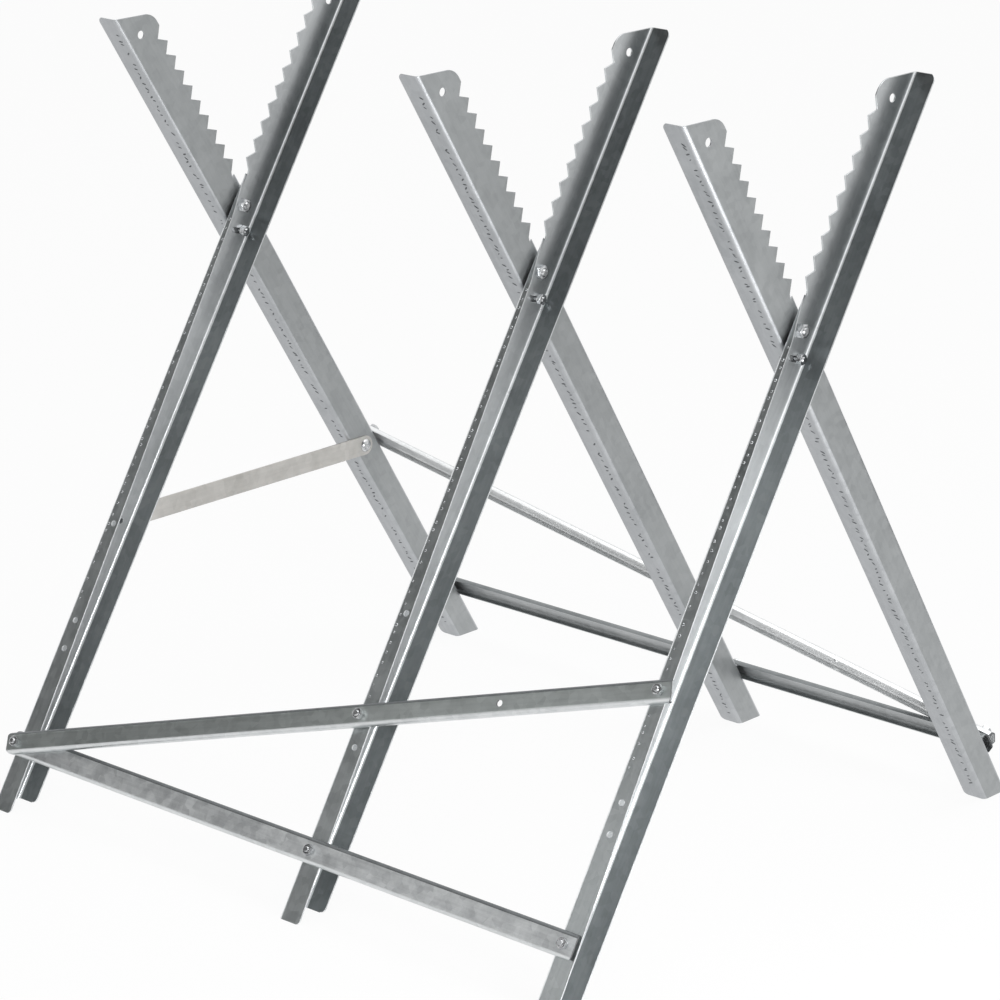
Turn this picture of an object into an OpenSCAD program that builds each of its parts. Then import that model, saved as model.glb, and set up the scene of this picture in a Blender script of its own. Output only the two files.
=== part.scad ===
// Folding log saw stand. Three X frames of toothed sheet legs turn on a common pivot line.
// A rail and a brace tie the three front legs, another pair ties the three rear legs,
// and a hooked strap on the first frame keeps the legs from spreading.
// Units are millimetres, +X runs along the log, +Z is up, the floor is z = 0.

/* [Stand] */
// Height of the stand when it is set up
stand_h = 800; // [770:1:830]
// Height of the pivot bolts above the floor
pivot_h = 578; // [560:1:600]
// Angle of each leg above the floor
leg_angle = 57.5; // [55:0.5:60]
// Distance from the first frame to the middle frame
first_span = 425; // [390:1:460]
// Distance from the middle frame to the last frame
last_span = 330; // [300:1:360]

/* [Leg sheet] */
// Thickness of the leg sheet
sheet = 1.5; // [1.2:0.1:2]
// Inside radius of the bends in the legs
bend_r = 3; // [2:0.1:3.6]
// Distance from the pivot to the outer flange's face
pivot_to_outer = 25; // [23:0.5:28]
// Distance from the pivot to the inner flange's face
pivot_to_inner = 14.4; // [13:0.2:17]
// Width of the web at the foot
foot_web = 32; // [28:0.5:36]
// Width of the outer flange
outer_flange = 26; // [22:0.5:30]
// Width of the inner flange just below the crossing
inner_flange_top = 8.5; // [6:0.5:10]
// Width of the inner flange at the foot
inner_flange_foot = 27.5; // [24:0.5:31]
// How far below the pivot the inner flange reaches its full depth
inner_flange_lead = 15; // [8:1:20]
// Corner radius of the flanges at the foot
foot_corner_r = 5; // [3:0.5:7]
// Corner radius of the outer flange at the top
top_corner_r = 8; // [4:0.5:10]

/* [Teeth] */
// Number of saw teeth on each arm
tooth_count = 9; // [8:1:10]
// Distance from tooth to tooth
tooth_pitch = 20.8; // [19:0.1:21]
// Depth of the teeth
tooth_depth = 9.8; // [8:0.1:11]
// Height of the lowest tooth root above the pivot, along the leg
tooth_start = 36.3; // [32:0.1:40]
// Distance from the outer flange's face to the tooth tips
arm_width = 45.4; // [42:0.2:48]
// Radius of the rounded inner corner at the top of the arm
arm_corner_r = 20; // [14:1:22]
// Diameter of the hole near the top of the arm
top_hole_d = 8.5; // [6:0.5:10]
// Distance of that hole from the outer flange's face
top_hole_in = 20; // [16:0.5:24]
// Distance of that hole below the top of the arm, along the leg
top_hole_down = 36.7; // [30:0.1:40]

/* [Crossing] */
// Gap between the two webs of a frame
web_gap = 3; // [2.8:0.1:4]
// Distance from the pivot to the stop bolt
stop_radius = 28; // [26:0.5:30]
// Sweep of the stop bolt in the arc slot of each leg, in degrees
slot_sweep = 28; // [24:1:30]
// Free play of a bolt in a slot or hook
slot_play = 0.3; // [0.2:0.05:0.5]
// Radial clearance of a turning joint
running_clearance = 0.08; // [0.02:0.01:0.1]
// Side clearance between pieces that turn past each other
side_clearance = 0.2; // [0.1:0.05:0.3]

/* [Rails and braces] */
// Thickness of the rail and brace sheet
bar_sheet = 1.5; // [1.2:0.1:2]
// Width of the rails
rail_width = 25.5; // [22:0.5:28]
// Width of the braces
brace_width = 23; // [20:0.5:26]
// Depth of the rail and brace channels
bar_depth = 7; // [5.5:0.1:8]
// Length of a bar beyond its end bolts
bar_end = 13; // [11:0.5:16]
// Corner radius of the bar ends
bar_corner_r = 5; // [3:0.5:7]
// Gap left where the brace's lips pass over the rail
brace_play = 0.1; // [0.1:0.05:0.3]
// Distance of the rail bolts below the crossing, along the inner flange
rail_drop = 618; // [590:1:640]
// Distance of the brace's upper bolt below the crossing, along the inner flange
brace_drop = 368; // [340:1:400]
// Gap between the edge of a bar bolt's washer and the bend of the leg
washer_play = 2.6; // [0.5:0.1:3]
// Distance of the brace's spare hole from its upper bolt
spare_hole = 181; // [160:1:200]

/* [Stay strap] */
// Thickness of the strap
strap_t = 2; // [1.6:0.1:2.2]
// Width of the strap
strap_w = 22; // [18:0.5:26]
// Distance of the strap's bolt from the pivot, along the leg
strap_drop = 361; // [330:1:380]
// Distance of the strap's bolt from the outer flange's face
strap_in = 15.5; // [14:0.5:18]
// Length of the strap beyond its peg
strap_tip = 11; // [9:0.5:13]
// Slope of the hook's lead-in, in degrees below the strap
hook_slope = 25; // [20:1:26]

/* [Fasteners] */
// Diameter of the pivot bolts
pivot_d = 8; // [7:0.5:9]
// Width across flats of the pivot bolts and nuts
pivot_flats = 13; // [12:0.5:14]
// Height of the pivot bolt heads
pivot_head = 5.3; // [4:0.1:6]
// Height of the pivot nuts
pivot_nut = 6.8; // [6:0.1:8]
// Diameter of the washers and spacers at the pivots
pivot_washer_d = 16; // [14.5:0.5:18]
// Diameter of the small bolts
bolt_d = 6; // [5:0.5:6.5]
// Width across flats of the small bolts and nuts
bolt_flats = 10; // [9:0.5:10.5]
// Height of the small bolt heads
bolt_head = 4; // [3:0.1:5]
// Height of the small nuts
bolt_nut = 5.2; // [4:0.1:6]
// Diameter of the small washers
washer_d = 11; // [10:0.5:11.5]
// Thickness of the washers
washer_t = 1.5; // [1:0.1:2]
// Length of thread that shows past a nut
thread_end = 1.5; // [1:0.5:4]
// Radial clearance of a bolt hole
hole_play = 0.25; // [0.1:0.05:0.4]
// Radial clearance of a nut on its thread
thread_play = 0.05; // [0.03:0.01:0.1]
// Diameter of the round strap bolt head
strap_head_d = 15; // [12:0.5:17]
// Height of the round strap bolt head
strap_head_h = 3.5; // [2.5:0.1:4.5]
// Diameter of the peg's head
peg_head_d = 11; // [9:0.5:14]
// Thickness of the peg's head
peg_head_h = 2; // [1.5:0.1:3]

/* [Hidden] */
$fn = 48;

// How far cutters overshoot, sheets lap and blanks run past their ends
cut = 1;
lap = 2;
overrun = 40;
// How far a round cutter bulges past the straight side that it runs into
relief = 0.05;
leg_cos = cos(leg_angle);
leg_sin = sin(leg_angle);
bend_out = bend_r + sheet;
half_gap = web_gap / 2;
web_face = half_gap + sheet;

// Frames along X, and the bolt lines of the front legs
frame_x = [-(first_span + last_span) / 2, (first_span - last_span) / 2, (first_span + last_span) / 2];
bolt_line = bend_out + washer_play + washer_d / 2;
bolt_offset = half_gap + bolt_line;

// Leg sheet: u runs across the leg towards the outer flange, t runs up the leg from the pivot
function t_at(u, height) = (height - pivot_h + u * leg_cos) / leg_sin;
tip_u = pivot_to_outer - arm_width;
root_u = tip_u + tooth_depth;
inner_foot_u = pivot_to_outer - foot_web;
taper = atan((pivot_to_inner + inner_foot_u) / -t_at(inner_foot_u, 0));
flange_lean = leg_angle + taper;
flange_foot = -(pivot_h + pivot_to_inner * leg_cos) / sin(flange_lean);
flange_start = tooth_start - tooth_depth / 2;
top_t = t_at(pivot_to_outer, stand_h);
function root_t(i) = tooth_start + i * tooth_pitch;
function on_inner(across, along) = [
  across * cos(taper) - along * sin(taper) - pivot_to_inner,
  across * sin(taper) + along * cos(taper)
];
strap_u = pivot_to_outer - strap_in;
strap_place = [strap_u, -strap_drop];

// Strap level and the place of its bolt across the stand
strap_z = pivot_h - strap_drop * leg_sin - strap_u * leg_cos;
strap_y = strap_drop * leg_cos - strap_u * leg_sin;
strap_back = -half_gap + slot_play;
strap_front = strap_back + strap_t;

// Bars: the run between end bolts, and the fraction of it at the middle frame
bar_run = first_span + last_span;
brace_rise = rail_drop - brace_drop;
brace_run = norm([bar_run, brace_rise]);
brace_tilt = atan(brace_rise / bar_run);
front_middle = first_span / bar_run;
rear_middle = last_span / bar_run;
bar_holes = [
  -rail_drop,
  -rail_drop + brace_rise * front_middle,
  -rail_drop + brace_rise * rear_middle,
  -brace_drop
];
edge_reach = (rail_width + brace_width * cos(brace_tilt)) / 2;
brace_overlap = edge_reach / sin(brace_tilt) + brace_width * sin(brace_tilt) / 2;
brace_lift = (bar_depth + brace_play) * brace_run / (brace_run - brace_overlap);
brace_lean = asin((brace_lift - brace_play) / brace_run);
nut_play = bolt_flats * sin(brace_lean);

// Bent sheet: the outer corner at the origin, one leg along x, the flange up along y
module bent_profile(leg, flange, thick, radius) {
  outside = radius + thick;
  translate([outside, 0]) square([leg - outside, thick]);
  translate([0, outside]) square([thick, flange - outside]);
  translate([outside, outside])
    intersection() {
      difference() {
        circle(outside);
        circle(radius);
      }
      translate([-outside, -outside]) square(outside);
    }
}

// A bent strip of the leg that runs down from its origin
module leg_strip(length, flange) {
  rotate([90, 0, 0])
    linear_extrude(length)
      bent_profile(bend_out + 2 * lap, flange, sheet, bend_r);
}

// Cutter that rounds a corner whose sheet lies below and left of the origin
module corner_cutter(radius, thick) {
  linear_extrude(thick)
    difference() {
      translate([-radius, -radius]) square(radius + cut);
      translate([-radius, -radius]) circle(radius + relief);
    }
}

module drill(place, diameter) {
  translate([place[0], place[1], -cut]) cylinder(h = sheet + 2 * cut, d = diameter);
}

// Flat web with its row of teeth
module web_outline() {
  outer_edge = pivot_to_outer - bend_out - lap;
  teeth = [
    for (i = [tooth_count:-1:0])
      each [[tip_u, root_t(i) + tooth_pitch / 2], [root_u, root_t(i)]]
  ];
  polygon(concat(
    [[outer_edge, t_at(outer_edge, 0) - overrun], [outer_edge, top_t + overrun], [tip_u, top_t + overrun]],
    teeth,
    [on_inner(bend_out + lap, flange_start - lap), on_inner(bend_out + lap, flange_foot - overrun)]
  ));
}

// Waste outside the rounded inner corner at the top of the arm
module arm_corner_waste() {
  half_angle = (180 - leg_angle) / 2;
  corner = [tip_u, t_at(tip_u, stand_h)];
  centre = [tip_u + arm_corner_r, corner[1] - arm_corner_r / tan(half_angle)];
  on_side = [tip_u, centre[1]];
  on_top = centre + arm_corner_r * [-leg_cos, leg_sin];
  beyond = corner + [-arm_corner_r, arm_corner_r];
  difference() {
    polygon([centre, on_top, on_top + cut * [-leg_cos, leg_sin], beyond, on_side - [cut, 0], on_side]);
    translate(centre) circle(arm_corner_r + relief, $fn = 96);
  }
}

module outer_flange_strip() {
  difference() {
    translate([pivot_to_outer, top_t + overrun, 0])
      mirror([1, 0, 0])
        leg_strip(top_t - t_at(pivot_to_outer, 0) + 2 * overrun, outer_flange);
    translate([pivot_to_outer - sheet - cut, top_t, outer_flange])
      rotate([90, 0, 90]) corner_cutter(top_corner_r, sheet + 2 * cut);
    translate([pivot_to_outer - sheet - cut, t_at(pivot_to_outer, 0), outer_flange])
      mirror([0, 1, 0]) rotate([90, 0, 90]) corner_cutter(foot_corner_r, sheet + 2 * cut);
  }
}

// Inner flange: narrow under the crossing, wider towards the foot, pointed at its start
module inner_flange_strip() {
  growth = (inner_flange_foot - inner_flange_top) / (-inner_flange_lead - flange_foot);
  foot_end = flange_foot - overrun;
  translate([-pivot_to_inner, 0, 0])
    rotate([0, 0, taper])
      difference() {
        translate([0, flange_start, 0])
          leg_strip(flange_start - foot_end, inner_flange_foot + overrun * growth);
        translate([-cut, 0, 0])
          rotate([90, 0, 90])
            linear_extrude(bend_out + cut)
              polygon([
                [foot_end - cut, inner_flange_foot + (overrun + cut) * growth],
                [-inner_flange_lead, inner_flange_top],
                [flange_start + cut, sheet],
                [flange_start + cut, inner_flange_foot * 2],
                [foot_end - cut, inner_flange_foot * 2]
              ]);
        translate([-cut, flange_foot, inner_flange_foot])
          mirror([0, 1, 0]) rotate([90, 0, 90]) corner_cutter(foot_corner_r, sheet + 2 * cut);
        for (along = bar_holes)
          translate([-cut, along, bolt_line])
            rotate([0, 90, 0]) cylinder(h = sheet + 2 * cut, d = bolt_d + 2 * hole_play);
      }
}

// Arc slot in which the stop bolt travels as the legs fold
module arc_slot() {
  half = bolt_d / 2 + slot_play;
  side = half - relief;
  rotate([0, 0, -leg_angle - slot_sweep])
    rotate_extrude(angle = slot_sweep)
      translate([stop_radius - side, -cut]) square([2 * side, sheet + 2 * cut]);
  for (turn = [0, slot_sweep])
    rotate([0, 0, -leg_angle - turn])
      translate([stop_radius, 0, -cut]) cylinder(h = sheet + 2 * cut, r = half);
}

module leg_sheet(stay_hole) {
  difference() {
    union() {
      difference() {
        linear_extrude(sheet) web_outline();
        translate([0, 0, -cut]) linear_extrude(sheet + 2 * cut) arm_corner_waste();
      }
      outer_flange_strip();
      inner_flange_strip();
    }
    drill([0, 0], pivot_d + 2 * running_clearance);
    drill([pivot_to_outer - top_hole_in, top_t - top_hole_down], top_hole_d);
    arc_slot();
    if (stay_hole > 0) drill(strap_place, stay_hole);
  }
}

// Turns the leg's plane upright at its frame, with the flanges towards +X
module stand_leg(x, stay_hole) {
  intersection() {
    translate([x, 0, pivot_h])
      rotate([90, 0, 90])
        rotate([0, 0, leg_angle - 90])
          translate([0, 0, half_gap]) leg_sheet(stay_hole);
    translate([x - stand_h, -stand_h, 0]) cube([2 * stand_h, 2 * stand_h, stand_h]);
  }
}

module front_leg(i) {
  peg_hole = i == 0 ? bolt_d + 2 * thread_play : 0;
  color("slategray") stand_leg(frame_x[i], peg_hole);
}

module rear_leg(i) {
  strap_hole = i == 0 ? bolt_d + 2 * hole_play : 0;
  color("silver") rotate([0, 0, 180]) stand_leg(-frame_x[i], strap_hole);
}

// Face of the inner flanges: x along the stand, y up the flange, z outwards
module flange_face(rear) {
  rotate([0, 0, rear ? 180 : 0])
    translate([0, -pivot_to_inner * leg_sin, pivot_h + pivot_to_inner * leg_cos])
      rotate([flange_lean, 0, 0]) children();
}

module round_plate(length, width, radius, thick) {
  linear_extrude(thick) {
    translate([radius, 0]) square([length - 2 * radius, width]);
    translate([0, radius]) square([length, width - 2 * radius]);
    for (x = [radius, length - radius], y = [radius, width - radius])
      translate([x, y]) circle(radius);
  }
}

// Bent channel across y, standing on its lips, with the face on top
module channel_profile(width) {
  for (side = [0, 1])
    mirror([side, 0])
      translate([-width / 2, bar_depth])
        mirror([0, 1]) bent_profile(width / 2 + side * lap, bar_depth, bar_sheet, bend_r);
}

// A channel whose first end bolt is at the origin, with round corners and bolt holes
module channel_bar(run, width, holes) {
  length = run + 2 * bar_end;
  difference() {
    intersection() {
      translate([-bar_end, 0, 0])
        rotate([90, 0, 90]) linear_extrude(length) channel_profile(width);
      translate([-bar_end, -width / 2, -cut])
        round_plate(length, width, bar_corner_r, bar_depth + 2 * cut);
    }
    for (x = holes)
      translate([x, 0, -cut]) cylinder(h = bar_depth + 2 * cut, d = bolt_d + 2 * hole_play);
  }
}

// The rear bars are the front bars turned end for end
module turn_bar(rear, run) {
  translate([rear ? run : 0, 0, 0]) rotate([0, 0, rear ? 180 : 0]) children();
}

module rail(rear) {
  flange_face(rear)
    translate([frame_x[0] + bolt_offset, -rail_drop, 0])
      turn_bar(rear, bar_run) channel_bar(bar_run, rail_width, [0, first_span, bar_run]);
}

// The brace starts on top of the rail and leans in until its far end rests on the last leg
module brace_frame(rear) {
  flange_face(rear)
    translate([frame_x[0] + bolt_offset, -rail_drop, brace_lift])
      rotate([0, 0, brace_tilt]) rotate([0, brace_lean, 0]) children();
}

module brace(rear) {
  brace_frame(rear)
    turn_bar(rear, brace_run)
      channel_bar(brace_run, brace_width, [0, brace_run * front_middle, brace_run - spare_hole, brace_run]);
}

module hex_prism(flats, height) {
  cylinder(h = height, d = flats / cos(30), $fn = 6);
}

// Bolt along z: head below the origin, shank above it
module hex_bolt(diameter, flats, head, shank) {
  translate([0, 0, -head]) hex_prism(flats, head);
  cylinder(h = shank, d = diameter);
}

module hex_nut(diameter, flats, height) {
  difference() {
    hex_prism(flats, height);
    translate([0, 0, -cut]) cylinder(h = height + 2 * cut, d = diameter + 2 * thread_play);
  }
}

module washer(outside, diameter, thick) {
  difference() {
    cylinder(h = thick, d = outside);
    translate([0, 0, -cut]) cylinder(h = thick + 2 * cut, d = diameter + 2 * thread_play);
  }
}

// Bolts of one side: two through the rail alone, three through the brace
function middle_part(rear) = rear ? rear_middle : front_middle;
function rail_bolts(rear) = [for (part = [middle_part(rear), 1]) [bolt_x(part), -rail_drop, bar_depth]];
function brace_bolts(rear) = [
  for (part = [0, middle_part(rear), 1])
    [bolt_x(part), brace_rise * part - rail_drop, brace_face(part) + nut_play]
];
function bolt_x(part) = frame_x[0] + bolt_offset + bar_run * part;
function brace_face(part) = brace_lift - (brace_lift - brace_play) * part + bar_depth;
function bar_bolt_places(rear) = concat(rail_bolts(rear), brace_bolts(rear));

// Heads bear on washers inside the leg, nuts on the outside of the bars
module bar_bolts(rear) {
  under_head = -sheet - washer_t;
  flange_face(rear)
    for (place = bar_bolt_places(rear))
      translate([place[0], place[1], under_head])
        hex_bolt(bolt_d, bolt_flats, bolt_head, place[2] - under_head + bolt_nut + thread_end);
}

module bar_nuts(rear) {
  flange_face(rear)
    for (place = bar_bolt_places(rear))
      translate(place) hex_nut(bolt_d, bolt_flats, bolt_nut);
}

module bar_washers(rear) {
  flange_face(rear)
    for (place = bar_bolt_places(rear))
      translate([place[0], place[1], -sheet - washer_t]) washer(washer_d, bolt_d, washer_t);
}

// One of a set at every frame, on an axis along X at the given height
module at_frames(height, x) {
  for (frame = frame_x)
    translate([frame + x, 0, height]) rotate([0, 90, 0]) children();
}

module pivot_bolts() {
  under_head = -web_face - side_clearance - washer_t;
  color("gainsboro")
    at_frames(pivot_h, under_head)
      hex_bolt(pivot_d, pivot_flats, pivot_head, web_face - under_head + pivot_nut + thread_end);
}

module pivot_nuts() {
  color("gainsboro") at_frames(pivot_h, web_face) hex_nut(pivot_d, pivot_flats, pivot_nut);
}

module pivot_spacers() {
  color("gray")
    at_frames(pivot_h, side_clearance - half_gap) washer(pivot_washer_d, pivot_d, web_gap - side_clearance);
}

module pivot_washers() {
  color("gainsboro")
    at_frames(pivot_h, -web_face - side_clearance - washer_t) washer(pivot_washer_d, pivot_d, washer_t);
}

module stop_bolts() {
  under_head = -web_face - side_clearance - washer_t;
  shank = web_face + side_clearance - under_head + bolt_nut + thread_end;
  color("gainsboro")
    at_frames(pivot_h - stop_radius, under_head) hex_bolt(bolt_d, bolt_flats, bolt_head, shank);
}

module stop_nuts() {
  color("gainsboro")
    at_frames(pivot_h - stop_radius, web_face + side_clearance) hex_nut(bolt_d, bolt_flats, bolt_nut);
}

module stop_washers() {
  color("gainsboro")
    at_frames(pivot_h - stop_radius, -web_face - side_clearance - washer_t)
      washer(washer_d, bolt_d, washer_t);
}

// Strap seen along X: a round eye on the rear leg, a hook over the peg on the front leg
module stay_strap() {
  notch = bolt_d / 2 + slot_play;
  below = strap_w / 2 + cut;
  side = notch - relief;
  lead = side * [sin(hook_slope), cos(hook_slope)];
  reach = (below + lead[1]) / tan(hook_slope);
  color("lightgray")
    translate([frame_x[0] + strap_back, 0, strap_z])
      rotate([90, 0, 90])
        difference() {
          linear_extrude(strap_t) {
            translate([-strap_y - strap_tip, -strap_w / 2]) square([2 * strap_y + strap_tip, strap_w]);
            translate([strap_y, 0]) circle(strap_w / 2);
          }
          translate([-strap_y, 0, -cut]) {
            cylinder(h = strap_t + 2 * cut, r = notch);
            linear_extrude(strap_t + 2 * cut)
              polygon([[-side, 0], [0, 0], lead, [lead[0] + reach, -below], [-side, -below]]);
          }
          translate([strap_y, 0, -cut])
            cylinder(h = strap_t + 2 * cut, d = bolt_d + 2 * running_clearance);
        }
}

// Places a piece on the strap's bolt or peg axis, with z along X
module on_strap_axis(y, x) {
  translate([frame_x[0] + x, y, strap_z]) rotate([0, 90, 0]) children();
}

module stay_bolt() {
  under_head = strap_front + side_clearance;
  end = -web_face - washer_t - bolt_nut - thread_end;
  dome_r = (strap_head_d * strap_head_d / 4 + strap_head_h * strap_head_h) / (2 * strap_head_h);
  color("gainsboro") {
    on_strap_axis(strap_y, end) cylinder(h = under_head - end, d = bolt_d);
    on_strap_axis(strap_y, under_head)
      rotate_extrude()
        intersection() {
          translate([0, strap_head_h - dome_r]) circle(dome_r, $fn = 96);
          square([strap_head_d, strap_head_h]);
        }
  }
}

module stay_nut() {
  color("gainsboro")
    on_strap_axis(strap_y, -web_face - washer_t - bolt_nut) hex_nut(bolt_d, bolt_flats, bolt_nut);
}

module stay_washer() {
  color("gainsboro") on_strap_axis(strap_y, -web_face - washer_t) washer(washer_d, bolt_d, washer_t);
}

// Peg riveted flush in the front leg's web, with a flat head behind the strap
module stay_peg() {
  head_face = strap_back - slot_play;
  color("gainsboro") {
    on_strap_axis(-strap_y, head_face) cylinder(h = web_face - head_face, d = bolt_d);
    on_strap_axis(-strap_y, head_face - peg_head_h) cylinder(h = peg_head_h, d = peg_head_d);
  }
}

front_leg(0);  // front_leg_1
front_leg(1);  // front_leg_2
front_leg(2);  // front_leg_3
rear_leg(0);  // rear_leg_1
rear_leg(1);  // rear_leg_2
rear_leg(2);  // rear_leg_3
color("darkgray") rail(false);  // front_rail
color("gray") brace(false);  // front_brace
color("darkgray") rail(true);  // rear_rail
color("gray") brace(true);  // rear_brace
stay_strap();
pivot_bolts();
pivot_nuts();
pivot_spacers();
pivot_washers();
stop_bolts();
stop_nuts();
stop_washers();
color("gainsboro") bar_bolts(false);  // front_bar_bolts
color("gainsboro") bar_nuts(false);  // front_bar_nuts
color("gainsboro") bar_washers(false);  // front_bar_washers
color("gainsboro") bar_bolts(true);  // rear_bar_bolts
color("gainsboro") bar_nuts(true);  // rear_bar_nuts
color("gainsboro") bar_washers(true);  // rear_bar_washers
stay_bolt();
stay_nut();
stay_washer();
stay_peg();
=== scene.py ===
"""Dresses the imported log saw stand: galvanised sheet legs, bars and strap, zinc plated bolts, a pale studio."""

import logging
import math
from dataclasses import dataclass, field
from enum import Enum
from typing import Callable, Iterable

import bmesh
import bpy
from mathutils import Euler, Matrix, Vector


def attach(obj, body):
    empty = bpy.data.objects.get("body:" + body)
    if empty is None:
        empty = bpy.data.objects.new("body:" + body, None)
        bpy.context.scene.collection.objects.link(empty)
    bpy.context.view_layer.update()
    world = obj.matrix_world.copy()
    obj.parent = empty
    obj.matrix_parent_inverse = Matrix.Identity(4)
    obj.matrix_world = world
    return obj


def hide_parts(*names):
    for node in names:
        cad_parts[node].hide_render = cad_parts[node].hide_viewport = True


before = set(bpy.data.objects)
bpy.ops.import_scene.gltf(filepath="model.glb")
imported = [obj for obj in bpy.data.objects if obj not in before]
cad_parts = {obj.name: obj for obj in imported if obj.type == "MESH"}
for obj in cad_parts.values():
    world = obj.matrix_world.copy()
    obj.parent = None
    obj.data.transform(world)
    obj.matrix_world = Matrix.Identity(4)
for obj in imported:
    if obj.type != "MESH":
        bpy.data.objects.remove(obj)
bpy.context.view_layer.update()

LOG = logging.getLogger("log_saw_stand")
MM = 0.001
Colour = tuple[float, float, float]
Point2 = tuple[float, float]
Point3 = tuple[float, float, float]
Socket = bpy.types.NodeSocket
Piece = bpy.types.Object
Profile = Callable[[float], list[Point2]]
BLACK: Colour = (0.0, 0.0, 0.0)
WHITE: Colour = (1.0, 1.0, 1.0)


class Side(Enum):
    """The two leaves of the folding stand, with the sign that turns one into the other."""

    FRONT = 1.0
    REAR = -1.0

    @property
    def body(self) -> str:
        """The body that carries this leaf."""
        return f"{self.name.lower()} frame"

    def node(self, piece: str) -> str:
        """The name of a piece's CAD node on this leaf."""
        return f"{self.name.lower()}_{piece}"


class Slot(Enum):
    """Material slots of the record."""

    LEG = "leg_zinc"
    BAR = "bar_zinc"
    STRAP = "strap_zinc"
    FASTENER = "fastener_zinc"


class LegZone(Enum):
    """Zones of a bent leg, numbered as its material slots, each slot painted with its own tone of light or shade."""

    WEB = 0
    BEND = 1
    INNER = 2
    OUTER = 3


class BarZone(Enum):
    """Zones of a channel bar, numbered as its material slots, each slot painted with its own tone of light or shade.
    """

    FACE = 0
    UPPER = 1
    LOWER = 2
    HOLLOW = 3
    END = 4


@dataclass(frozen=True)
class StandSizes:
    """Sizes that several sub-assemblies share, in millimetres and degrees."""

    frames: Point3 = (-377.5, 47.5, 377.5)
    pivot_h: float = 578.0
    leg_angle: float = 57.5
    flange_lean: float = 58.115
    brace_tilt: float = 18.3
    web_back: float = 1.5


SIZES = StandSizes()


@dataclass
class NodeSheet:
    """A node tree with short calls for its nodes and links."""

    tree: bpy.types.NodeTree

    def feed(self, socket: Socket, value: object) -> None:
        """Links a socket to another, or sets its constant."""
        if isinstance(value, Socket):
            self.tree.links.new(value, socket)
        else:
            socket.default_value = value

    def node(self, kind: str, inputs: dict[str | int, object] | None = None, **settings: object) -> bpy.types.Node:
        """Adds a node.

        Args:
            kind: The node's type name.
            inputs: Values or sockets for its inputs, by name or index.
            settings: The node's own properties.

        Returns:
            The new node.
        """
        node = self.tree.nodes.new(kind)
        for name, value in settings.items():
            setattr(node, name, value)
        for key, value in (inputs or {}).items():
            self.feed(node.inputs[key], value)
        return node

    def math(self, operation: str, first: object, second: object) -> Socket:
        """Adds a Math node on two values and returns its output."""
        return self.node("ShaderNodeMath", {0: first, 1: second}, operation=operation).outputs[0]


@dataclass(frozen=True)
class Noise:
    """The settings of a noise texture."""

    per_metre: float
    detail: float
    roughness: float = 0.5
    distortion: float = 0.0


class ShaderSheet(NodeSheet):
    """The node tree of a new material."""

    def __init__(self, name: str) -> None:
        """Makes the material with its principled surface."""
        self.material = bpy.data.materials.new(name)
        self.material.use_nodes = True
        super().__init__(self.material.node_tree)
        self.surface = self.tree.nodes["Principled BSDF"]

    def noise(self, place: Socket, noise: Noise) -> Socket:
        """Adds a noise texture at a place and returns its value."""
        return self.node("ShaderNodeTexNoise", {
            "Vector": place, "Scale": noise.per_metre, "Detail": noise.detail, "Roughness": noise.roughness,
            "Distortion": noise.distortion}).outputs["Fac"]

    def weighted(self, values: Iterable[Socket], weights: Iterable[float]) -> Socket:
        """Adds values up by their weights and returns the sum."""
        total, *others = [self.math("MULTIPLY", value, weight) for value, weight in zip(values, weights)]
        for other in others:
            total = self.math("ADD", total, other)
        return total

    def ramp(self, value: Socket, stops: Iterable[float], colours: Iterable[Colour]) -> Socket:
        """Adds a colour ramp.

        Args:
            value: The socket that drives the ramp.
            stops: The ramp's positions, lowest first.
            colours: Their colours.

        Returns:
            The ramp's colour output.
        """
        node = self.node("ShaderNodeValToRGB", {"Fac": value})
        elements = node.color_ramp.elements
        marks = list(zip(stops, colours))
        for _ in marks[2:]:
            elements.new(0.5)
        for element, (position, colour) in zip(elements, marks):
            element.position = position
            element.color = (*colour, 1.0)
        return node.outputs["Color"]

    def span(self, value: Socket, low: float, high: float, start: float = 0.0, end: float = 1.0) -> Socket:
        """Maps a stretch of values onto another.

        Args:
            value: The socket that is mapped.
            low: The result at the start.
            high: The result at the end.
            start: Where the stretch starts.
            end: Where it ends.

        Returns:
            The result.
        """
        return self.node("ShaderNodeMapRange", {
            "Value": value, "From Min": start, "From Max": end, "To Min": low, "To Max": high}).outputs["Result"]

    def matt(self, grey: float, rough: float) -> bpy.types.Material:
        """Makes the surface an even matt grey and returns the material."""
        self.surface.inputs["Base Color"].default_value = (grey, grey, grey, 1.0)
        self.surface.inputs["Roughness"].default_value = rough
        return self.material

    def metal(self, colour: Socket, roughness: Socket, height: Socket, relief: float,
              depth: float) -> bpy.types.Material:
        """Makes the surface a metal.

        Args:
            colour: Its colour.
            roughness: Its roughness.
            height: The height of its fine relief.
            relief: How strongly the relief shows.
            depth: The relief's depth in metres.

        Returns:
            The material.
        """
        bump = self.node("ShaderNodeBump", {"Height": height, "Strength": relief, "Distance": depth})
        looks = {"Metallic": 1.0, "Base Color": colour, "Roughness": roughness, "Normal": bump.outputs["Normal"]}
        for name, value in looks.items():
            self.feed(self.surface.inputs[name], value)
        return self.material


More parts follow.
